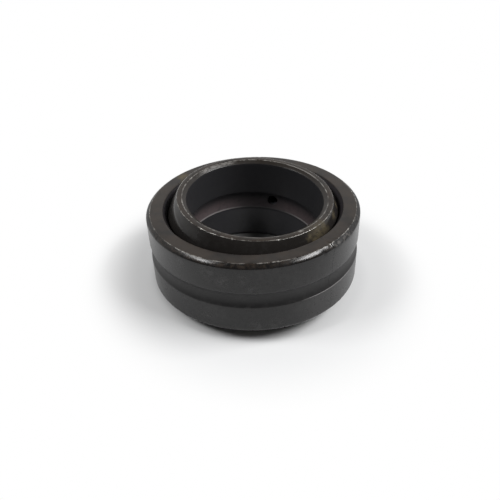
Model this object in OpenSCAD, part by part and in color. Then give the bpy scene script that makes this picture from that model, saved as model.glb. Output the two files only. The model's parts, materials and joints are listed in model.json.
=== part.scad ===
// Radial spherical plain bearing, steel on steel, greased through grooves and holes in both rings.
// A ball-shaped inner ring turns and tilts in the socket of a one-piece outer ring, which was
// cracked through at one place so that it could be sprung over the ball.
// Millimetres. The origin is the centre of the ball, and Z is the axis of the inner ring,
// which stands level. The outer ring leans on the ball, as it was left.

/* [Inner ring] */
// Diameter of the bore
bore_d = 35; // [28:0.5:38]
// Width of the ring, face to face
inner_w = 25; // [21:0.5:29]
// Width of the flat end faces, from the bore out to the ball, which sets the ball's size
end_face_w = 2.4; // [1.6:0.1:3.6]
// How far the chamfer at the bore's ends reaches out over the end face
bore_chamfer_w = 1.1; // [0.3:0.1:1.3]
// How deep the chamfer at the bore's ends goes
bore_chamfer_depth = 0.7; // [0.3:0.1:1.3]
// Radius that rounds the ball into the end faces
ball_edge_r = 0.3; // [0.1:0.1:0.8]

/* [Outer ring] */
// Outside diameter
outer_d = 55; // [52:0.5:70]
// Width of the ring, face to face
outer_w = 20; // [14:0.5:24]
// Chamfer along the outside edges
outer_chamfer = 1.0; // [0.4:0.1:2.5]
// Radius that breaks the chamfers' edges
chamfer_edge_r = 0.15; // [0.05:0.05:0.4]
// How far the bevel at the socket's mouth reaches out over the end face
mouth_bevel_w = 1.9; // [0.4:0.1:3]
// How deep the bevel at the socket's mouth goes
mouth_bevel_depth = 2.0; // [0.5:0.1:4]

/* [Fit of the ball in its socket] */
// Gap between the ball and the socket, all round
ball_gap = 0.05; // [0.02:0.01:0.1]
// How far the outer ring leans on the ball at rest, in degrees
lean = 3.8; // [0:0.1:6]
// Direction that the outer ring's top leans towards, in degrees from X
lean_direction = 147; // [0:1:359]

/* [Greasing grooves] */
// Width of the groove round the outside of the outer ring
outside_groove_w = 4.3; // [2:0.1:6]
// Depth of the groove round the outside of the outer ring
outside_groove_depth = 0.7; // [0.3:0.1:1.5]
// Width of the groove round the socket
socket_groove_w = 3.4; // [2:0.1:6]
// Depth of the groove round the socket
socket_groove_depth = 0.6; // [0.2:0.1:1]
// Width of the groove round the ball
ball_groove_w = 3.4; // [2:0.1:6]
// Depth of the groove round the ball
ball_groove_depth = 0.6; // [0.2:0.1:1]
// Width of the groove round the bore
bore_groove_w = 5.0; // [2:0.1:6]
// Depth of the groove round the bore
bore_groove_depth = 0.7; // [0.3:0.1:1.5]

/* [Greasing holes] */
// Diameter of the holes in both rings
hole_d = 3; // [1.5:0.1:4]
// Number of holes in the outer ring
outer_holes = 2; // [1:1:4]
// Direction of the outer ring's first hole, in degrees from X
outer_hole_direction = 0; // [0:1:359]
// Number of holes in the inner ring
inner_holes = 2; // [1:1:4]
// Direction of the inner ring's first hole, in degrees from X
inner_hole_direction = 73; // [0:1:359]

/* [Fracture of the outer ring] */
// Direction of the fracture, in degrees from X
fracture_direction = 313; // [0:1:359]
// Width of the crack
fracture_gap = 0.04; // [0.02:0.01:0.3]
// How far the crack strays from a straight line to each side
fracture_stray = 0.35; // [0:0.05:1]

/* [Hidden] */
$fn = 180;

steel_dark = [0.27, 0.26, 0.25];
steel_worn = [0.33, 0.32, 0.31];

bore_r = bore_d / 2;
outer_r = outer_d / 2;
inner_z = inner_w / 2;
outer_z = outer_w / 2;

// The ball runs through the outer corners of the end faces, and down from them along ball_down.
ball_corner = [bore_r + end_face_w, inner_z];
ball_r = norm(ball_corner);
ball_down = [inner_z, -ball_corner.x] / ball_r;
socket_r = ball_r + ball_gap;

// The bevel runs from the end face down to the socket.
mouth_r = sqrt(pow(socket_r, 2) - pow(outer_z, 2));
bevel_z = outer_z - mouth_bevel_depth;
bevel_r = sqrt(pow(socket_r, 2) - pow(bevel_z, 2));

past = 1;              // how far a cutting shape runs past what it cuts
arc_steps = 6;         // straight pieces in the arc of a broken edge
fracture_steps = 20;   // straight pieces along the crack

// Radius of the arc that is a groove's section, from its width and depth
function groove_arc_r(w, depth) = (w * w / 4 + depth * depth) / (2 * depth);

function unit(v) = v / norm(v);

// Corner b of an outline, between a and c, as an arc of radius r
function broken_corner(a, b, c, r) =
    let (
        to_a = unit(a - b),
        to_c = unit(c - b),
        half = acos(to_a * to_c) / 2,
        centre = b + unit(to_a + to_c) * r / sin(half),
        from_v = b + to_a * r / tan(half) - centre,
        to_v = b + to_c * r / tan(half) - centre,
        sweep = 180 - 2 * half
    )
    [
        for (i = [0:arc_steps])
            let (t = sweep * i / arc_steps)
            centre + (from_v * sin(sweep - t) + to_v * sin(t)) / sin(sweep)
    ];

// Sideways place of the crack, with t from 0 at one end face to 1 at the other
function crack_at(t) = fracture_stray * (0.6 * sin(500 * t + 20) + 0.4 * sin(1250 * t + 70));

// The same points below the middle of a ring, in the opposite order
function mirrored(points) = [for (i = [len(points) - 1:-1:0]) [points[i].x, -points[i].y]];

// What is cut at one end of a section, and again at the other
module both_ends() {
    children();
    mirror([0, 1]) children();
}

// Section of a groove of this width and depth, cut into a wall at radius wall_r
// from outside (side = 1) or from the axis (side = -1)
module groove_section(wall_r, w, depth, side) {
    arc_r = groove_arc_r(w, depth);
    translate([wall_r + side * (arc_r - depth), 0])
        circle(r = arc_r);
}

// Round holes through a ring's wall, from the radius from_r outwards
module greasing_holes(count, direction, from_r, to_r) {
    for (i = [0:count - 1])
        rotate([0, 0, direction + i * 360 / count])
            translate([from_r, 0, 0])
                rotate([0, 90, 0])
                    cylinder(d = hole_d, h = to_r - from_r);
}

// Outside of the outer ring, with chamfers whose edges are broken
module outer_blank_section() {
    face_end = [outer_r - outer_chamfer, outer_z];
    side_end = [outer_r, outer_z - outer_chamfer];
    upper = concat(
        [[0, outer_z]],
        broken_corner([0, outer_z], face_end, side_end, chamfer_edge_r),
        broken_corner(face_end, side_end, [outer_r, 0], chamfer_edge_r)
    );
    polygon(concat(upper, mirrored(upper)));
}

module mouth_bevel_section() {
    both_ends()
        polygon([
            [0, bevel_z],
            [bevel_r, bevel_z],
            [mouth_r + mouth_bevel_w, outer_z],
            [mouth_r + mouth_bevel_w, outer_z + past],
            [0, outer_z + past],
        ]);
}

module outer_section() {
    difference() {
        outer_blank_section();
        circle(r = socket_r);
        mouth_bevel_section();
        groove_section(outer_r, outside_groove_w, outside_groove_depth, 1);
        groove_section(socket_r, socket_groove_w, socket_groove_depth, -1);
    }
}

// Thin wandering slit from the axis out past the ring's outside
module crack() {
    reach_z = outer_z + past;
    steps = [0:fracture_steps];
    left = [for (i = steps) [crack_at(i / fracture_steps) - fracture_gap / 2,
                             reach_z * (2 * i / fracture_steps - 1)]];
    right = [for (i = steps) [crack_at(1 - i / fracture_steps) + fracture_gap / 2,
                              reach_z * (1 - 2 * i / fracture_steps)]];
    rotate([0, 0, fracture_direction])
        rotate([90, 0, 90])
            linear_extrude(height = outer_r + past)
                polygon(concat(left, right));
}

// Leans its children on the ball, with their top towards lean_direction
module leaning() {
    rotate([0, 0, lean_direction])
        rotate([0, lean, 0])
            rotate([0, 0, -lean_direction])
                children();
}

module outer_ring() {
    color(steel_dark)
        leaning()
            difference() {
                rotate_extrude() outer_section();
                greasing_holes(outer_holes, outer_hole_direction, ball_r, outer_r + past);
                crack();
            }
}

// Ball with flat ends
module ball_zone_section() {
    intersection() {
        circle(r = ball_r);
        translate([0, -inner_z]) square([ball_r + past, inner_w]);
    }
}

// What comes off the ball's sharp edge to round it
module ball_edge_section() {
    edge = broken_corner(ball_corner + ball_down, ball_corner, [0, inner_z], ball_edge_r);
    outside_r = ball_corner.x + past;
    outside_z = inner_z + past;
    both_ends()
        polygon(concat(edge, [
            [edge[arc_steps].x, outside_z],
            [outside_r, outside_z],
            [outside_r, edge[0].y],
        ]));
}

// Bore with chamfered ends
module bore_section() {
    translate([-past, -inner_z - past]) square([bore_r + past, inner_w + 2 * past]);
    both_ends()
        polygon([
            [0, inner_z - bore_chamfer_depth],
            [bore_r, inner_z - bore_chamfer_depth],
            [bore_r + bore_chamfer_w, inner_z],
            [bore_r + bore_chamfer_w, inner_z + past],
            [0, inner_z + past],
        ]);
}

module inner_section() {
    difference() {
        ball_zone_section();
        ball_edge_section();
        bore_section();
        groove_section(bore_r, bore_groove_w, bore_groove_depth, -1);
        groove_section(ball_r, ball_groove_w, ball_groove_depth, 1);
    }
}

module inner_ring() {
    color(steel_worn)
        difference() {
            rotate_extrude() inner_section();
            greasing_holes(inner_holes, inner_hole_direction, 0, ball_r + past);
        }
}

outer_ring();
inner_ring();
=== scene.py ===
# A radial spherical plain bearing, steel on steel, lying on a pale sheet under soft studio light.
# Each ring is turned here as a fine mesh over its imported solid. Sizes are in millimetres, and
# directions round a ring are in degrees from X.
import json
import math

import bpy
import numpy as np
from mathutils import Matrix, Vector


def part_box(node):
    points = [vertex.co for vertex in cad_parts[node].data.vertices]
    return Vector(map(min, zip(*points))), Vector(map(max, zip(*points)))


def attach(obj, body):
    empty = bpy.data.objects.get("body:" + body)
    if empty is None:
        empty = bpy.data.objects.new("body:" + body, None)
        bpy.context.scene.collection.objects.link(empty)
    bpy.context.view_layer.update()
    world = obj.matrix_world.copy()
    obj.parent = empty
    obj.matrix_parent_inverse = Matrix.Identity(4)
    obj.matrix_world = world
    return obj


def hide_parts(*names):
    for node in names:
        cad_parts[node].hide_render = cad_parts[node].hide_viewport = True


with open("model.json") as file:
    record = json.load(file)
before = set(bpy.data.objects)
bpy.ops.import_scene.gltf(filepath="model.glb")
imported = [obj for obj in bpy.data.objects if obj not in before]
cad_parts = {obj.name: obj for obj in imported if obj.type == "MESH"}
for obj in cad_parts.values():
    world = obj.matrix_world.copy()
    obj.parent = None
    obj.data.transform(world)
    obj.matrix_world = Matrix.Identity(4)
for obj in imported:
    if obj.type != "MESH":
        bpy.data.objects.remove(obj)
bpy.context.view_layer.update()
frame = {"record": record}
MM = 0.001

# Camera
# It looks down on the bearing from close by, turned a little about its own line of sight.
LOOKS_DOWN = math.radians(37.494)
TURNED = math.radians(1.532)
CAMERA_DISTANCE = 148.03
CAMERA_LEFT = 1.010
CAMERA_LOWER = 4.232
FOCAL_PIXELS = 550.6
PICTURE_PIXELS = 500
SENSOR = 36.0
NEAR_CLIP = 0.01

to_camera = Vector((0, -math.cos(LOOKS_DOWN), math.sin(LOOKS_DOWN)))
level_right = Vector((1, 0, 0))
level_up = to_camera.cross(level_right)
camera_right = math.cos(TURNED) * level_right + math.sin(TURNED) * level_up
camera_up = math.cos(TURNED) * level_up - math.sin(TURNED) * level_right
camera_place = CAMERA_DISTANCE * to_camera - CAMERA_LEFT * camera_right - CAMERA_LOWER * camera_up

camera_data = bpy.data.cameras.new("camera")
camera_data.sensor_width = SENSOR
camera_data.lens = FOCAL_PIXELS / PICTURE_PIXELS * SENSOR
camera_data.clip_start = NEAR_CLIP
camera = bpy.data.objects.new("camera", camera_data)
camera.matrix_world = Matrix.Translation(camera_place * MM) @ Matrix(
    (camera_right, camera_up, to_camera)
).transposed().to_4x4()
bpy.context.scene.collection.objects.link(camera)
bpy.context.scene.camera = camera
bpy.context.scene.view_settings.view_transform = "Standard"

# Table
# A pale matt sheet that the bearing lies on, its colour darkened close under it and in its bore as a
# painted shadow. It keeps the bearing's soft shadow, and further out it glows for what the camera and
# the polished steel see, so that it reads as white.
TABLE_HALF = 4000
TABLE_WHITE = (0.85, 0.855, 0.86)
TABLE_PAINTED_SHADOW = (0.25, 0.25, 0.25)
TABLE_ROUGHNESS = 0.95
TABLE_SPECULAR = 0.1
# A reach, here and below, is where a change starts and where it is complete.
PAINTED_SHADOW_CENTRE = (-1.5, -0.5)
PAINTED_SHADOW_REACH = (17, 29.5)
GLOW_CENTRE = (2.2, 2.2)
GLOW_NEAR = 0.2
GLOW_NEAR_REACH = (27.5, 31.5)
GLOW_FAR = 1.0
GLOW_FAR_REACH = (33, 51)


class Wire:
    """A socket of a node tree. Arithmetic on it adds the nodes that work it out."""

    # Places of the Mix node's colour sockets, which share their names with others.
    COLOUR_A, COLOUR_B, COLOUR_OUT = 6, 7, 2

    def __init__(self, socket):
        self.socket = socket
        self.tree = socket.id_data

    @classmethod
    def node(cls, tree, kind, settings=None, sockets=None, output=0):
        """Adds a node, sets it up, then fills its sockets, and returns one of its outputs."""
        made = tree.nodes.new(kind)
        for name, value in (settings or {}).items():
            setattr(made, name, value)
        for name, value in (sockets or {}).items():
            if isinstance(value, Wire):
                tree.links.new(value.socket, made.inputs[name])
            else:
                made.inputs[name].default_value = value
        return cls(made.outputs[output])

    def add(self, kind, settings=None, sockets=None, output=0):
        """Another node in this wire's tree."""
        return Wire.node(self.tree, kind, settings, sockets, output)

    def into(self, shader, name):
        """Leads this wire into one of a shader's sockets."""
        self.tree.links.new(self.socket, shader.inputs[name])

    def math(self, operation, *values):
        """A Math node on these values, in this wire's tree."""
        return self.add("ShaderNodeMath", {"operation": operation}, dict(enumerate(values)))

    def __add__(self, other):
        return self.math("ADD", self, other)

    def __sub__(self, other):
        return self.math("SUBTRACT", self, other)

    def __rsub__(self, other):
        return self.math("SUBTRACT", other, self)

    def __mul__(self, other):
        return self.math("MULTIPLY", self, other)

    def __abs__(self):
        return self.math("ABSOLUTE", self)

    __radd__ = __add__
    __rmul__ = __mul__

    def most(self, other):
        return self.math("MAXIMUM", self, other)

    def least(self, other):
        return self.math("MINIMUM", self, other)

    def rise(self, low, high):
        """0 below low, 1 above high, and smooth between them."""
        return self.add(
            "ShaderNodeMapRange",
            {"interpolation_type": "SMOOTHSTEP"},
            {"Value": self, "From Min": low, "From Max": high},
        )

    def fall(self, low, high):
        """1 below low, 0 above high, and smooth between them."""
        return 1 - self.rise(low, high)

    def tint(self, below, above):
        """A colour between two others, by this wire from 0 to 1."""
        ends = [end if isinstance(end, Wire) else (*end, 1) for end in (below, above)]
        sockets = {"Factor": self, self.COLOUR_A: ends[0], self.COLOUR_B: ends[1]}
        return self.add("ShaderNodeMix", {"data_type": "RGBA"}, sockets, self.COLOUR_OUT)

    def scaled(self, factor):
        """This wire, a vector, times a number."""
        return self.add("ShaderNodeVectorMath", {"operation": "SCALE"}, {0: self, "Scale": factor})

    def distance(self, point):
        """From this wire, a place, to a point."""
        return self.add("ShaderNodeVectorMath", {"operation": "DISTANCE"}, {0: self, 1: point}, "Value")

    def parts(self):
        """The three parts of this wire, a vector."""
        split = self.add("ShaderNodeSeparateXYZ", None, {0: self}).socket.node
        return [Wire(output) for output in split.outputs]

    def join(self, second, third):
        """A vector with this wire as its first part."""
        return self.add("ShaderNodeCombineXYZ", None, {0: self, 1: second, 2: third})

    def clouds(self, size, detail=2.0, sharpness=0.5):
        """Cloudy noise about 0.5 over this wire, a place in mm, with clouds of about this size."""
        return self.add(
            "ShaderNodeTexNoise",
            None,
            {"Vector": self, "Scale": 1 / size, "Detail": detail, "Roughness": sharpness},
        )


def seen_ray(tree):
    """1 for what the camera sees, straight or in a reflection or through glass, and 0 for plain light."""
    camera_ray, glossy_ray, glass_ray = (
        Wire.node(tree, "ShaderNodeLightPath", output=f"Is {kind} Ray")
        for kind in ("Camera", "Glossy", "Transmission")
    )
    return camera_ray.most(glossy_ray).most(glass_ray)


table_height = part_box("inner_ring")[0].z
table_corners = [
    (x * TABLE_HALF * MM, y * TABLE_HALF * MM, table_height)
    for x, y in ((-1, -1), (1, -1), (1, 1), (-1, 1))
]
table_mesh = bpy.data.meshes.new("table")
table_mesh.from_pydata(table_corners, [], [(0, 1, 2, 3)])
table = bpy.data.objects.new("table", table_mesh)
bpy.context.scene.collection.objects.link(table)

table_material = bpy.data.materials.new("pale_table")
table_material.use_nodes = True
table_tree = table_material.node_tree
table_shader = table_tree.nodes["Principled BSDF"]
table_shader.inputs["Roughness"].default_value = TABLE_ROUGHNESS
table_shader.inputs["Specular IOR Level"].default_value = TABLE_SPECULAR
table_place = Wire.node(table_tree, "ShaderNodeTexCoord", output="Object").scaled(1 / MM)
# The sheet's colour darkens towards the bearing and in its bore: a painted shadow.
painted_shadow = table_place.distance((*PAINTED_SHADOW_CENTRE, table_height / MM)).fall(*PAINTED_SHADOW_REACH)
painted_shadow.tint(TABLE_WHITE, TABLE_PAINTED_SHADOW).into(table_shader, "Base Color")
from_glow_centre = table_place.distance((*GLOW_CENTRE, table_height / MM))
glow_near = GLOW_NEAR * from_glow_centre.rise(*GLOW_NEAR_REACH)
glow_far = (GLOW_FAR - GLOW_NEAR) * from_glow_centre.rise(*GLOW_FAR_REACH)
glow = Wire.node(table_tree, "ShaderNodeEmission", None, {"Color": (1, 1, 1, 1)})
sheet = glow.add(
    "ShaderNodeMixShader",
    None,
    {
        "Fac": (glow_near + glow_far) * seen_ray(table_tree),
        1: Wire(table_shader.outputs[0]),
        2: glow,
    },
)
sheet.into(table_tree.nodes["Material Output"], "Surface")
table_mesh.materials.append(table_material)

# Light
# A pale room that is brightest low down at the back and the sides, and dim overhead and on the
# camera's side, with a broad window high on the right and a weaker one on the left.
ROOM_DIM = 0.045
ROOM_BRIGHT = 0.6
ROOM_UP_REACH = (0.55, 0.85)
ROOM_BACK_REACH = (-0.55, 0.45)
WINDOW_DISTANCE = 2500


def room():
    """The room's light, by the way it comes from: Y runs to the back and Z up."""
    world = bpy.data.worlds.new("room")
    bpy.context.scene.world = world
    world.use_nodes = True
    background = world.node_tree.nodes["Background"]
    background.inputs["Color"].default_value = (1, 1, 1, 1)
    _, back, up = Wire.node(world.node_tree, "ShaderNodeTexCoord", output="Generated").parts()
    light = ROOM_DIM + ROOM_BRIGHT * up.fall(*ROOM_UP_REACH) * back.rise(*ROOM_BACK_REACH)
    light.into(background, "Strength")


def window(name, azimuth, elevation, width, height, power):
    """A lamp far off in this direction, in degrees, with its long side level."""
    data = bpy.data.lights.new(name, "AREA")
    data.shape = "RECTANGLE"
    data.size = width * MM
    data.size_y = height * MM
    data.energy = power
    lamp = bpy.data.objects.new(name, data)
    azimuth = math.radians(azimuth)
    elevation = math.radians(elevation)
    level = math.cos(elevation)
    way = Vector((level * math.cos(azimuth), level * math.sin(azimuth), math.sin(elevation)))
    lamp.location = way * WINDOW_DISTANCE * MM
    lamp.rotation_euler = way.to_track_quat("Z", "Y").to_euler()
    bpy.context.scene.collection.objects.link(lamp)


room()
window("right_window", azimuth=-6, elevation=51, width=1550, height=480, power=53)
window("left_window", azimuth=192, elevation=48, width=1000, height=400, power=23)

# Outer ring
# One ring of hardened bearing steel, turned, ground, phosphated dark, and cracked through at one
# place so that it springs over the ball. It leans on the ball as it was left.
mounts = {mount["name"]: mount for mount in frame["record"]["mounts"]}
outer_r = mounts["housing_seat"]["dims"]["r_mm"]
outer_z = 10.0
outer_chamfer = 1.0
chamfer_r = outer_r - outer_chamfer
chamfer_z = outer_z - outer_chamfer
bore_r = mounts["bore"]["dims"]["r_mm"]
inner_z = -table_height / MM
end_face_w = 2.4
ball_gap = 0.05
ball_r = math.hypot(bore_r + end_face_w, inner_z)
socket_r = ball_r + ball_gap
mouth_bevel_w = 1.9
mouth_bevel_depth = 2.0
mouth_r = math.sqrt(socket_r**2 - outer_z**2) + mouth_bevel_w
bevel_z = outer_z - mouth_bevel_depth
outside_groove_w = 4.3
outside_groove_depth = 0.7
outside_groove_z = outside_groove_w / 2
socket_groove_w = 3.4
socket_groove_depth = 0.6
hole_r = 1.5
hole_break = 0.15

# How finely a ring is turned: points round it and along its outline, where so many millimetres
# of straight run take as many points as so many radians of bend.
COLUMNS = 640
ROWS = 124
POINT_GAP = 0.8
POINT_BEND = 0.22
GROOVE_STEPS = 24
HOLE_SIDES = 56
SHARP = math.radians(32)

# How its edges are broken, and how unevenly they are worn.
FINE = 0.02
EDGE_BREAK = 0.12
EDGE_WAVES = 80
WAVE_FADE = -0.35
WORN_BIAS = 0.1


def arc(centre, radius, start, end, steps):
    """Points of a section along an arc. Angles are in degrees from straight out."""
    turn = np.radians(np.linspace(start, end, steps + 1))
    return np.stack([centre + radius * np.cos(turn), radius * np.sin(turn)], 1)


def groove(wall_r, width, depth, side):
    """Upper half of a groove cut into a wall from outside (side 1) or from the axis (side -1)."""
    radius = (width**2 / 4 + depth**2) / (2 * depth)
    half = math.degrees(math.asin(width / 2 / radius))
    ends = (180, 180 - half) if side > 0 else (0, half)
    return arc(wall_r + side * (radius - depth), radius, *ends, GROOVE_STEPS)


def angle_of(z, radius):
    """Angle in degrees of an arc's point at this height."""
    return math.degrees(math.asin(z / radius))


def broken(upper):
    """The closed outline of a ring from its upper half, as complex numbers r + z i.

    Its edges are broken, and its points lie closer together where it bends."""
    corners = np.concatenate([upper, upper[::-1] * (1, -1)])
    corners = np.concatenate([corners, corners[:1]])
    along = np.concatenate([[0], np.cumsum(np.hypot(*np.diff(corners, axis=0).T))])
    count = int(along[-1] / FINE)
    even = np.linspace(0, along[-1], count, endpoint=False)
    path = np.interp(even, along, corners[:, 0]) + 1j * np.interp(even, along, corners[:, 1])
    waves = np.fft.fftfreq(count, d=along[-1] / count)
    path = np.fft.ifft(np.fft.fft(path) * np.exp(-2 * (math.pi * EDGE_BREAK * waves) ** 2))
    step = np.diff(path, append=path[:1])
    bend = np.abs(np.angle(step / np.roll(step, 1)))
    need = np.cumsum(np.abs(step) / POINT_GAP + bend / POINT_BEND)
    places = np.interp(np.linspace(0, need[-1], ROWS, endpoint=False), need, np.arange(count))
    return path[places.astype(int)]


def nicks(chance, count, corners, half, reach, depth):
    """Small dents scattered over a ring's edges at both ends, each measure between its two limits."""
    made = []
    for _ in range(count):
        side = chance.choice([-1, 1])
        radius, height = corners[chance.integers(len(corners))]
        made.append((
            chance.uniform(0, 360),
            radius,
            side * height,
            chance.uniform(*half),
            chance.uniform(*reach),
            chance.uniform(*depth),
        ))
    return made


def wander(chance):
    """An uneven line round a ring, from -1 to 1, made of many waves."""
    turn = np.linspace(0, 2 * math.pi, COLUMNS, endpoint=False)
    counts = np.arange(1.0, EDGE_WAVES)
    heights = chance.normal(size=len(counts)) * counts**WAVE_FADE
    starts = chance.uniform(0, 2 * math.pi, len(counts))
    line = (heights[:, None] * np.sin(counts[:, None] * turn + starts[:, None])).sum(0)
    return line / np.abs(line).max()


def metal_lost(outline, azimuth, dents, edges, chance):
    """How much metal dents and wear take away at each point of a ring.

    A dent is its azimuth, radius, height, half its length round the ring, its reach and its depth.
    An edge is its radius, its height above and below the middle, its reach and how deep it wears."""
    loss = np.zeros((COLUMNS, ROWS))
    for turn, radius, height, half, reach, depth in dents:
        off = (np.degrees(azimuth) - turn + 180) % 360 - 180
        length = np.radians(off) * radius / half
        far = np.abs(outline - (radius + 1j * height))
        loss += depth * np.outer(np.exp(-(length**4)), np.exp(-((far / reach) ** 2)))
    for side in (-1, 1):
        for radius, height, reach, depth in edges:
            worn = np.clip(wander(chance) + WORN_BIAS, 0, 1)
            far = np.abs(outline - (radius + 1j * side * height))
            loss += depth * np.outer(worn, np.exp(-((far / reach) ** 2)))
    return loss


def turned(name, outline, dents, edges, chance):
    """A ring, turned from its outline about Z, with dents and unevenly worn edges."""
    azimuth = np.linspace(0, 2 * math.pi, COLUMNS, endpoint=False)
    along = np.roll(outline, -1) - np.roll(outline, 1)
    area = np.sum((np.conj(outline) * np.roll(outline, -1)).imag)
    inward = 1j * along / np.abs(along) * math.copysign(1, area)
    path = outline[None, :] + inward[None, :] * metal_lost(outline, azimuth, dents, edges, chance)
    sideways = np.stack([np.cos(azimuth), np.sin(azimuth)], 1)[:, None, :] * path.real[:, :, None]
    points = np.concatenate([sideways, path.imag[:, :, None]], 2)
    column, row = np.meshgrid(np.arange(COLUMNS), np.arange(ROWS), indexing="ij")
    next_column = (column + 1) % COLUMNS
    next_row = (row + 1) % ROWS
    loops = [(column, row), (next_column, row), (next_column, next_row), (column, next_row)]
    faces = np.stack([c * ROWS + r for c, r in loops], 2).reshape(-1, 4)
    if area < 0:
        faces = faces[:, ::-1]
    mesh = bpy.data.meshes.new(name)
    mesh.from_pydata(points.reshape(-1, 3) * MM, [], faces.tolist())
    piece = bpy.data.objects.new(name, mesh)
    bpy.context.scene.collection.objects.link(piece)
    return piece


def cutter(points, faces, direction):
    """A solid to cut with, made along X and then turned to its direction."""
    mesh = bpy.data.meshes.new("cutter")
    mesh.from_pydata([Vector(point) * MM for point in points], [], faces)
    made = bpy.data.objects.new("cutter", mesh)
    made.rotation_euler.z = math.radians(direction)
    bpy.context.scene.collection.objects.link(made)
    return made


def drill(direction, profile):
    """A cutter for a round hole that runs outwards, from its distance and radius at each step."""
    turns = np.linspace(0, 2 * math.pi, HOLE_SIDES, endpoint=False)
    points = [
        (distance, radius * math.cos(turn), radius * math.sin(turn))
        for distance, radius in profile
        for turn in turns
    ]
    last = len(points) - HOLE_SIDES
    faces = [list(range(HOLE_SIDES))[::-1], list(range(last, last + HOLE_SIDES))]
    for start in range(0, last, HOLE_SIDES):
        for side in range(HOLE_SIDES):
            near = start + side
            far = start + (side + 1) % HOLE_SIDES
            faces.append([near, far, far + HOLE_SIDES, near + HOLE_SIDES])
    return cutter(points, faces, direction)


def cut(piece, cutters):
    """Cuts these cutters out of a piece, and smooths its shading up to the sharp edges."""
    for tool in cutters:
        step = piece.modifiers.new("cut", "BOOLEAN")
        step.operation = "DIFFERENCE"
        step.solver = "MANIFOLD"
        step.object = tool
    graph = bpy.context.evaluated_depsgraph_get()
    done = bpy.data.meshes.new_from_object(piece.evaluated_get(graph))
    piece.modifiers.clear()
    piece.data = done
    done.materials.clear()
    done.shade_smooth()
    done.set_sharp_from_angle(angle=SHARP)
    for tool in cutters:
        bpy.data.objects.remove(tool)


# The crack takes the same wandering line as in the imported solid. Its faces are rough, and its rims
# are chipped where it reaches the outside, deeper on the chamfers than on the wall.
CRACK_DIRECTION = 313
CRACK_GAP = 0.04
CRACK_STRAY = 0.35
CRACK_ROUGH = 0.03
CRACK_REACH = 11.0
CRACK_ROWS = 96
CRACK_RADII = np.array([22.0, 23.3, 24.0, 25.0, 26.0, 26.6, 27.1, 27.35, 27.6, 28.6])
CHIP_DEPTH = 0.12
CHIP_BIAS = 0.4
CHIPS_ON_WALL = 0.04
CHIPS_START_Z = 8.9
CHIPS_GROW_Z = 0.6
CHIPS_START_R = 25.9
CHIPS_GROW_R = 0.7


def crack(chance):
    """A cutter for the crack: the two rough faces of one break, with their chipped rims."""
    rings = len(CRACK_RADII)
    heights = np.linspace(-CRACK_REACH, CRACK_REACH, CRACK_ROWS)
    share = (heights / CRACK_REACH + 1) / 2
    waves = 0.6 * np.sin(np.radians(500 * share + 20)) + 0.4 * np.sin(np.radians(1250 * share + 70))
    middle = CRACK_STRAY * waves + CRACK_ROUGH * chance.normal(size=(rings, CRACK_ROWS))
    on_chamfer = np.clip((np.abs(heights) - CHIPS_START_Z) / CHIPS_GROW_Z, CHIPS_ON_WALL, 1)
    chips = CHIP_DEPTH * on_chamfer * np.clip(chance.normal(size=(2, CRACK_ROWS)) + CHIP_BIAS, 0, 2)
    on_surface = np.clip((CRACK_RADII - CHIPS_START_R) / CHIPS_GROW_R, 0, 1)
    half = CRACK_GAP / 2 + on_surface[:, None, None] * chips[None, :, :]
    sides = np.stack([middle - half[:, 0], middle + half[:, 1]])
    points = [
        (radius, sides[side, ring, row], heights[row])
        for side in (0, 1)
        for ring, radius in enumerate(CRACK_RADII)
        for row in range(CRACK_ROWS)
    ]
    number = np.arange(len(points)).reshape(2, rings, CRACK_ROWS)

    def face(corners):
        return [int(number[corner]) for corner in corners]

    faces = []
    for ring in range(rings - 1):
        for row in range(CRACK_ROWS - 1):
            patch = [(ring, row), (ring + 1, row), (ring + 1, row + 1), (ring, row + 1)]
            faces.append(face((0, *corner) for corner in patch))
            faces.append(face((1, *corner) for corner in patch[::-1]))
    rim = [(ring, 0) for ring in range(rings - 1)]
    rim += [(rings - 1, row) for row in range(CRACK_ROWS - 1)]
    rim += [(ring, CRACK_ROWS - 1) for ring in range(rings - 1, 0, -1)]
    rim += [(0, row) for row in range(CRACK_ROWS - 1, 0, -1)]
    for start, end in zip(rim, rim[1:] + rim[:1]):
        faces.append(face([(0, *end), (0, *start), (1, *start), (1, *end)]))
    return cutter(points, faces, CRACK_DIRECTION)


# The chamfer bulges slightly, through a point this far in from the outside and up from its foot.
CHAMFER_BULGE = (0.28, 0.363)
SOCKET_START = 5
SOCKET_STEPS = 30
# A hole's distance from the axis and its radius there. Its rim is broken where it meets the groove.
OUTER_HOLE = [(22.4, hole_r), (26.6, hole_r), (26.95, hole_r + hole_break), (28.6, hole_r + hole_break)]
OUTER_HOLE_DIRECTIONS = (0, 180)

outer_upper = np.concatenate([
    groove(outer_r, outside_groove_w, outside_groove_depth, 1),
    [
        [outer_r, chamfer_z],
        [outer_r - CHAMFER_BULGE[0], chamfer_z + CHAMFER_BULGE[1]],
        [chamfer_r, outer_z],
        [mouth_r, outer_z],
    ],
    arc(0, socket_r, angle_of(bevel_z, socket_r), SOCKET_START, SOCKET_STEPS),
    groove(socket_r, socket_groove_w, socket_groove_depth, -1)[::-1],
])
outer_chance = np.random.default_rng(11)
# The dents that can be told apart: each azimuth, radius, height, half length, reach and depth.
outer_dents = [
    (302.5, 26.8, 9.85, 0.5, 0.3, 0.05),
    (307.3, 27.45, 9.0, 0.6, 0.35, 0.13),
    (312.8, 26.6, 9.95, 0.6, 0.4, 0.16),
    (316.5, 26.9, 9.6, 0.8, 0.5, 0.1),
    (321.8, 26.9, 9.6, 1.0, 0.5, 0.08),
    (327.3, 27.3, 9.2, 0.9, 0.45, 0.08),
    (333, 26.6, 9.95, 0.8, 0.4, 0.07),
    (284, 26.6, 9.95, 0.5, 0.3, 0.06),
    (214, 27.3, 9.2, 0.5, 0.35, 0.06),
    (257, 26.6, 9.95, 0.6, 0.35, 0.06),
]
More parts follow.
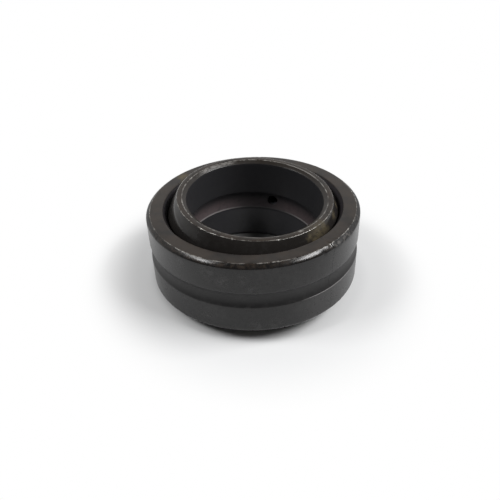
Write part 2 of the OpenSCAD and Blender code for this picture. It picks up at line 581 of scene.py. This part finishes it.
# The chamfer is battered on the right, where many small dents run into each other.
for azimuth in outer_chance.uniform(314, 345, 20):
    out = outer_chance.uniform(0, 0.8)
    outer_dents.append((
        azimuth,
        outer_r - out,
        chamfer_z + 0.1 + out,
        outer_chance.uniform(0.4, 0.9),
        outer_chance.uniform(0.25, 0.4),
        outer_chance.uniform(0.05, 0.16),
    ))
outer_corners = [(outer_r, chamfer_z), (chamfer_r, outer_z), (outer_r, outside_groove_z)]
outer_dents += nicks(outer_chance, 20, outer_corners, (0.2, 0.6), (0.15, 0.3), (0.02, 0.06))
outer_edges = [
    (outer_r, chamfer_z, 0.3, 0.03),
    (chamfer_r, outer_z, 0.3, 0.01),
    (mouth_r, outer_z, 0.3, 0.03),
    (outer_r, outside_groove_z, 0.25, 0.02),
]
outer_ring = turned("turned_outer_ring", broken(outer_upper), outer_dents, outer_edges, outer_chance)
outer_cutters = [drill(direction, OUTER_HOLE) for direction in OUTER_HOLE_DIRECTIONS]
cut(outer_ring, outer_cutters + [crack(outer_chance)])
lean = Vector((0, 0, 1)).rotation_difference(Vector(mounts["housing_seat"]["axis"]))
outer_ring.matrix_world = lean.to_matrix().to_4x4()


class RingPlace:
    """Where a point of a ring's surface lies, in millimetres and in the ring's own frame."""

    def __init__(self, tree):
        self.point = Wire.node(tree, "ShaderNodeTexCoord", output="Object").scaled(1 / MM)
        x, self.back, self.height = self.point.parts()
        self.radius = x.math("SQRT", x * x + self.back * self.back)
        self.azimuth = x.math("ARCTAN2", self.back, x) * math.degrees(1)
        self.off_middle = abs(self.height)
        self.section = self.radius.join(self.off_middle, 0)

    def edge_gap(self, edges):
        """Distance to the nearest of these edges, given by radius and height above the middle."""
        gaps = [self.section.distance((radius, height, 0)) for radius, height in edges]
        nearest = gaps[0]
        for gap in gaps[1:]:
            nearest = nearest.least(gap)
        return nearest

    def between(self, start, end, soft):
        """1 from one direction to another and 0 elsewhere, with soft ends."""
        off = self.azimuth - (start + end) / 2
        half = (end - start) / 2
        return abs(off.math("WRAP", off, 180, -180)).fall(half - soft, half + soft)

    def rings(self, size, length):
        """Fine noise drawn out round the ring, as turning and grinding leave it."""
        return self.radius.join(self.azimuth * (size / length), self.height).clouds(size, 2, 0.6)

    def spots(self, marks, ragged):
        """1 inside these marks, given by direction, radius, height and size, with ragged rims."""
        masks = []
        for azimuth, radius, height, size in marks:
            turn = math.radians(azimuth)
            middle = (radius * math.cos(turn), radius * math.sin(turn), height)
            masks.append((self.point.distance(middle) + ragged * size).fall(0, 1.25 * size))
        covered = masks[0]
        for mask in masks[1:]:
            covered = covered.most(mask)
        return covered


# The coat is blackest where the ring was ground, brownish on its end faces, and dull with old grease
# in its grooves. Paler colour in the outer ring's mouth is painted light that lifts the shade there.
# Bright steel shows where an edge is rubbed through.
COAT_BLACK = (0.0085, 0.0080, 0.0080)
COAT_BROWN = (0.036, 0.0275, 0.0215)
COAT_THIN = (0.050, 0.048, 0.048)
COAT_RUST = (0.095, 0.078, 0.048)
BARE_STEEL = (0.46, 0.44, 0.41)
COAT_SPECULAR = 0.37
GRAIN_SIZE = 0.3
BLOTCH_SIZE = 1.3
CLOUD_SIZE = 9
LATHE_SIZE = 0.11
LATHE_LENGTH = 5
GROUND_ROUGHNESS = 0.2
RELIEF = 0.005
WORN_REACH = (0.02, 0.15)


def phosphated(name, zones, edges, rubs_and_highlights, stains, bare):
    """Dark phosphated steel of a ring, with bright worn edges, paler rubbed places, one of them a painted
    highlight, and rust stains.
    """
    material = bpy.data.materials.new(name)
    material.use_nodes = True
    shader = material.node_tree.nodes["Principled BSDF"]
    shader.inputs["Specular IOR Level"].default_value = COAT_SPECULAR
    place = RingPlace(material.node_tree)
    grain = place.point.clouds(GRAIN_SIZE, 3, 0.65)
    blotch = place.point.clouds(BLOTCH_SIZE, 4, 0.66)
    cloud = place.point.clouds(CLOUD_SIZE, 3, 0.5)
    lathe = place.rings(LATHE_SIZE, LATHE_LENGTH)
    ragged = (blotch - 0.5) * 2.6 + (grain - 0.5) * 0.8

    coat = COAT_BLACK
    roughness = GROUND_ROUGHNESS + 0.12 * blotch + 0.06 * grain
    for inside, colour, rougher in zones(place):
        coat = inside.tint(coat, colour)
        roughness = roughness + rougher * inside
    thin = (blotch * 0.6 + cloud * 0.4 + grain * 0.3).rise(0.6, 0.86)
    rubbed_and_highlit = place.spots(rubs_and_highlights, ragged)
    coat = (0.25 * thin).most(0.7 * rubbed_and_highlit * blotch.rise(0.42, 0.6)).tint(coat, COAT_THIN)
    stained = place.spots(stains, ragged)
    coat = (stained * blotch.rise(0.22, 0.5)).tint(coat, COAT_RUST)

    gap = place.edge_gap(edges) - 0.4 * (blotch - 0.5) - 0.3 * (grain - 0.5)
    worn = 0.7 * gap.fall(*WORN_REACH) * cloud.rise(0.3, 0.55) * blotch.rise(0.3, 0.6)
    worn = worn.most(0.6 * place.spots(bare, ragged))
    worn.tint(coat, BARE_STEEL).into(shader, "Base Color")
    (0.4 * worn).into(shader, "Metallic")
    (roughness - 0.04 * rubbed_and_highlit + 0.15 * stained).into(shader, "Roughness")
    relief = place.point.add(
        "ShaderNodeBump",
        None,
        {"Strength": 1.0, "Distance": RELIEF * MM, "Height": grain + 0.8 * lathe + 1.5 * blotch},
    )
    relief.into(shader, "Normal")
    return material


COAT_GREASE = (0.0075, 0.0070, 0.0072)
# A paler colour for the mouth: painted light that lifts the shade in it.
MOUTH_PAINTED_LIGHT = (0.034, 0.030, 0.034)
CHAMFER_CHIPPED = (0.07, 0.063, 0.057)
# A painted sheen on the wall below the outer groove on the right, and a painted highlight on the groove's
# lower lip there, where the right lamp catches them.
WALL_PAINTED_SHEEN = (0.022, 0.021, 0.021)
OUTER_LIP_PAINTED_HIGHLIGHT = (0.2, 0.19, 0.19)
# Where round the ring each of these lies: from one direction to another, and how soft its ends are.
CHIPPED_ARC = (314.5, 346, 1.5)
DULL_RIGHT_ARC = (314.5, 405, 1.5)
DULL_LEFT_ARC = (140, 203, 8)
SHEEN_ARC = (296, 335, 8)
LIP_HIGHLIGHT_ARC = (298, 332, 5)


def outer_zones(place):
    """Where the outer ring's coat differs: each mask, its colour and how much rougher it is."""
    height = place.off_middle
    face = height.rise(outer_z - 0.3, outer_z - 0.1) * place.point.clouds(4, 3).rise(0.1, 0.7)
    chamfer = (
        height.rise(chamfer_z - 0.15, chamfer_z)
        * height.fall(outer_z - 0.1, outer_z)
        * place.radius.rise(chamfer_r - 0.3, chamfer_r - 0.1)
    )
    brown = place.point.clouds(0.9, 3, 0.6).rise(0.35, 0.7) * height.rise(chamfer_z - 0.1, chamfer_z + 0.5)
    chips = place.point.clouds(1.3, 3).rise(0.52, 0.6) * place.between(*CHIPPED_ARC)
    # Painted sheen on the wall below the groove on the right, and a painted highlight on its lip.
    wall_painted_sheen = (
        place.height.fall(-outside_groove_z - 0.15, -outside_groove_z + 0.05)
        * place.radius.rise(outer_r - 0.1, outer_r - 0.05)
        * place.between(*SHEEN_ARC)
    )
    lip_painted_highlight = (
        abs(place.height + outside_groove_z + 0.05).fall(0.06, 0.16)
        * place.radius.rise(outer_r - 0.12, outer_r - 0.06)
        * place.between(*LIP_HIGHLIGHT_ARC)
    )
    in_groove = (
        place.radius.fall(outer_r - 0.12, outer_r - 0.03)
        * height.fall(outside_groove_z - 0.05, outside_groove_z + 0.05)
    )
    # The mouth is painted paler: painted light in its shade.
    mouth_painted_light = place.radius.fall(mouth_r - 0.25, mouth_r - 0.05)
    return [
        (face, COAT_BROWN, 0.08),
        (chamfer, COAT_BLACK, -0.08),
        (chamfer * brown, COAT_BROWN, 0),
        (chamfer * place.between(*DULL_RIGHT_ARC), COAT_BLACK, 0.3),
        (chamfer * place.between(*DULL_LEFT_ARC), COAT_BLACK, 0.25),
        (wall_painted_sheen, WALL_PAINTED_SHEEN, 0),
        (lip_painted_highlight, OUTER_LIP_PAINTED_HIGHLIGHT, 0),
        (chamfer * chips, CHAMFER_CHIPPED, 0),
        (in_groove, COAT_GREASE, 0.2),
        (mouth_painted_light, MOUTH_PAINTED_LIGHT, 0.15),
    ]


outer_rubs = [
    (249, outer_r, 7.2, 3.0),
    (256, outer_r, 5.2, 2.6),
    (265, outer_r, 6.1, 2.2),
    (270, outer_r, 3.4, 1.6),
    (233, outer_r, 7.4, 1.6),
    (246, outer_r, -6.1, 1.6),
    (272, outer_r, -7.7, 2.2),
    (281, outer_r, -7.6, 2.0),
]
outer_stains = [(143, 24.8, outer_z, 2.4), (147, 22.0, outer_z, 1.8)]
outer_steel = phosphated(
    "outer_ring_steel",
    outer_zones,
    edges=[(chamfer_r, outer_z)],
    rubs_and_highlights=outer_rubs,
    stains=outer_stains,
    bare=[(312.8, 26.7, 9.9, 0.4)],
)
outer_ring.data.materials.append(outer_steel)
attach(outer_ring, "outer_ring")
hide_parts("outer_ring")

# Inner ring
# One ring of hardened bearing steel with a ball-shaped outside, ground and phosphated, with a
# greasing groove and two holes in its bore. It stands level on the table.
ball_edge_r = bore_r + end_face_w
bore_chamfer_w = 1.1
bore_chamfer_depth = 0.7
bore_edge_r = bore_r + bore_chamfer_w
bore_chamfer_z = inner_z - bore_chamfer_depth
ball_groove_w = 3.4
ball_groove_depth = 0.6
bore_groove_w = 5.0
bore_groove_depth = 0.7
bore_groove_z = bore_groove_w / 2
bore_groove_r = bore_r + bore_groove_depth
BALL_START = 6
BALL_STEPS = 40
INNER_HOLE = [(16.0, hole_r), (22.6, hole_r), (22.95, hole_r + hole_break), (24.6, hole_r + hole_break)]
INNER_HOLE_DIRECTIONS = (73, 253)

inner_upper = np.concatenate([
    groove(ball_r, ball_groove_w, ball_groove_depth, 1),
    arc(0, ball_r, BALL_START, angle_of(inner_z, ball_r), BALL_STEPS),
    [[bore_edge_r, inner_z], [bore_r, bore_chamfer_z]],
    groove(bore_r, bore_groove_w, bore_groove_depth, -1)[::-1],
])
inner_chance = np.random.default_rng(5)
inner_dents = [
    (255.1, 19.85, 12.45, 0.3, 0.25, 0.08),
    (287.5, 19.85, 12.45, 0.35, 0.25, 0.08),
    (305.0, 18.7, 12.45, 0.8, 0.3, 0.1),
    (152.9, 18.5, 12.45, 0.6, 0.3, 0.08),
    (117.0, 18.6, 12.45, 1.6, 0.3, 0.05),
]
inner_corners = [(ball_edge_r, inner_z), (bore_edge_r, inner_z)]
inner_dents += nicks(inner_chance, 30, inner_corners, (0.2, 0.5), (0.15, 0.25), (0.01, 0.04))
inner_edges = [(ball_edge_r, inner_z, 0.3, 0.04), (bore_edge_r, inner_z, 0.3, 0.03)]
inner_ring = turned("turned_inner_ring", broken(inner_upper), inner_dents, inner_edges, inner_chance)
cut(inner_ring, [drill(direction, INNER_HOLE) for direction in INNER_HOLE_DIRECTIONS])

# The ball is polished where it runs in the socket, but for a dull streak along its rim at the left.
# The bore is palest low down at the back, painted light that lifts the shade there, as on the hole
# walls. Its groove is darker there, painted shade where the light leaves it, and the painted
# highlight on the groove's lip fades there. Painted highlights also run along the bore's rim at the
# back right and its chamfer at the back left.
BALL_POLISHED = (0.019, 0.0168, 0.0152)
CHAMFER_DULL = (0.022, 0.0175, 0.014)
# Painted highlights along the bore's rim and its chamfer at the back, where they catch the lamps.
RIM_PAINTED_HIGHLIGHT = (0.2, 0.19, 0.18)
BORE_DULL = (0.034, 0.034, 0.037)
BORE_LOW_PAINTED_LIGHT = (0.060, 0.060, 0.065)
BORE_PALEST_PAINTED_LIGHT = (0.11, 0.11, 0.115)
GROOVE_PINKISH = (0.094, 0.073, 0.075)
BORE_LIP_PAINTED_HIGHLIGHT = (0.26, 0.24, 0.24)
STREAK_ARC = (160, 232, 14)
STREAK_SLANT = 0.185
STREAK_REACH = (12.05, 12.4)
EDGE_HIGHLIGHT_ARC = (28, 64, 10)
CHAMFER_HIGHLIGHT_ARC = (110, 143, 5)
LOW_PAINTED_LIGHT_ARC = (10, 128, 14)
PALEST_PAINTED_LIGHT_ARC = (68, 110, 12)
GROOVE_PAINTED_SHADE_ARC = (66, 108, 14)
LIP_HIGHLIGHT_FADE_ARC = (52, 108, 14)
HOLE_WALL_REACH = (22.3, 22.6)


def inner_zones(place):
    """Where the inner ring's coat differs: each mask, its colour and how much rougher it is."""
    height = place.off_middle
    ball = place.radius.rise(bore_r + 1.6, bore_r + 2.0)
    streak = (
        place.radius.rise(ball_edge_r, ball_edge_r + 0.2)
        * place.between(*STREAK_ARC)
        * (place.height - STREAK_SLANT * place.back).rise(*STREAK_REACH)
    )
    face = height.rise(inner_z - 0.12, inner_z - 0.04) * place.point.clouds(4, 3).rise(0.1, 0.7)
    chamfer = (
        height.rise(bore_chamfer_z - 0.05, bore_chamfer_z + 0.05)
        * place.radius.fall(bore_edge_r - 0.1, bore_edge_r)
    )
    in_bore = place.radius.fall(bore_r + 0.8, bore_r + 1.0)
    wall = height.fall(bore_chamfer_z - 0.1, bore_chamfer_z + 0.05) * in_bore
    # Paler low down at the back of the bore, and on the hole walls: painted light that lifts the shade.
    low_wall_painted_light = place.height.fall(-3.4, -2.6) * in_bore * place.between(*LOW_PAINTED_LIGHT_ARC)
    palest_painted_light = place.height.fall(-3.6, -2.8) * in_bore * place.between(*PALEST_PAINTED_LIGHT_ARC)
    # Painted highlights on the bore's rim at the back right and, streaked round the ring, on its chamfer
    # at the back left.
    rim_edge_painted_highlight = (
        place.edge_gap([(bore_edge_r, inner_z)]).fall(0.08, 0.25)
        * place.between(*EDGE_HIGHLIGHT_ARC)
    )
    rim_chamfer_painted_highlight = (
        place.edge_gap([(bore_r + 0.7, inner_z - 0.2)]).fall(0.2, 0.7)
        * place.between(*CHAMFER_HIGHLIGHT_ARC)
        * place.rings(0.4, 4).rise(0.3, 0.6)
    )
    hole_walls_painted_light = (
        place.radius.rise(bore_groove_r, bore_groove_r + 0.2)
        * place.radius.fall(*HOLE_WALL_REACH)
        * height.fall(hole_r + 0.1, hole_r + 0.3)
    )
    # The groove's pinkish coat is painted darker in its upper part and towards the back: painted shade
    # where the light leaves it.
    in_groove = (
        place.radius.rise(bore_r + 0.03, bore_r + 0.15)
        * place.radius.fall(bore_groove_r, bore_groove_r + 0.2)
        * place.height.fall(-1.2, 2.3)
        * place.point.clouds(0.9, 4, 0.6).rise(0, 0.6)
        * (1 - 0.6 * place.between(*GROOVE_PAINTED_SHADE_ARC))
    )
    # A painted highlight along the groove's lower lip, faded at the back.
    lip_painted_highlight = (
        abs(place.height + bore_groove_z).fall(0.08, 0.3)
        * place.radius.fall(bore_r + 0.25, bore_r + 0.5)
        * (1 - 0.8 * place.between(*LIP_HIGHLIGHT_FADE_ARC))
    )
    return [
        (ball, BALL_POLISHED, -0.16),
        (streak, BALL_POLISHED, 0.25),
        (face, COAT_BROWN, 0.08),
        (chamfer, CHAMFER_DULL, 0.05),
        (wall, BORE_DULL, 0.1),
        (low_wall_painted_light, BORE_LOW_PAINTED_LIGHT, 0.1),
        (palest_painted_light, BORE_PALEST_PAINTED_LIGHT, 0.1),
        (rim_edge_painted_highlight, RIM_PAINTED_HIGHLIGHT, 0),
        (rim_chamfer_painted_highlight, RIM_PAINTED_HIGHLIGHT, 0),
        (hole_walls_painted_light, BORE_LOW_PAINTED_LIGHT, 0.1),
        (in_groove, GROOVE_PINKISH, 0.15),
        (lip_painted_highlight, BORE_LIP_PAINTED_HIGHLIGHT, 0),
    ]


# The first mark, on the ball at the left, is a painted highlight where the ball's rim catches the light;
# the two in the bore are rubbed places.
inner_rubs_and_highlight = [(190, 20.8, 11.0, 1.6), (60, bore_r, 4.0, 2.0), (135, bore_r, -6.0, 3.0)]
inner_stains = [
    (309, 20.6, 11.3, 1.3),
    (317, 20.6, 11.2, 2.8),
    (324, 20.4, 11.4, 2.2),
    (313, 21.2, 10.2, 1.5),
    (341, 20.6, 11.3, 1.3),
    (355, 20.6, 11.3, 1.1),
]
inner_steel = phosphated(
    "inner_ring_steel",
    inner_zones,
    edges=inner_corners,
    rubs_and_highlights=inner_rubs_and_highlight,
    stains=inner_stains,
    bare=[(255.1, 19.8, 12.5, 0.35), (287.5, 19.8, 12.5, 0.35), (305, 18.7, 12.5, 0.6)],
)
inner_ring.data.materials.append(inner_steel)
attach(inner_ring, "inner_ring")
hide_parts("inner_ring")
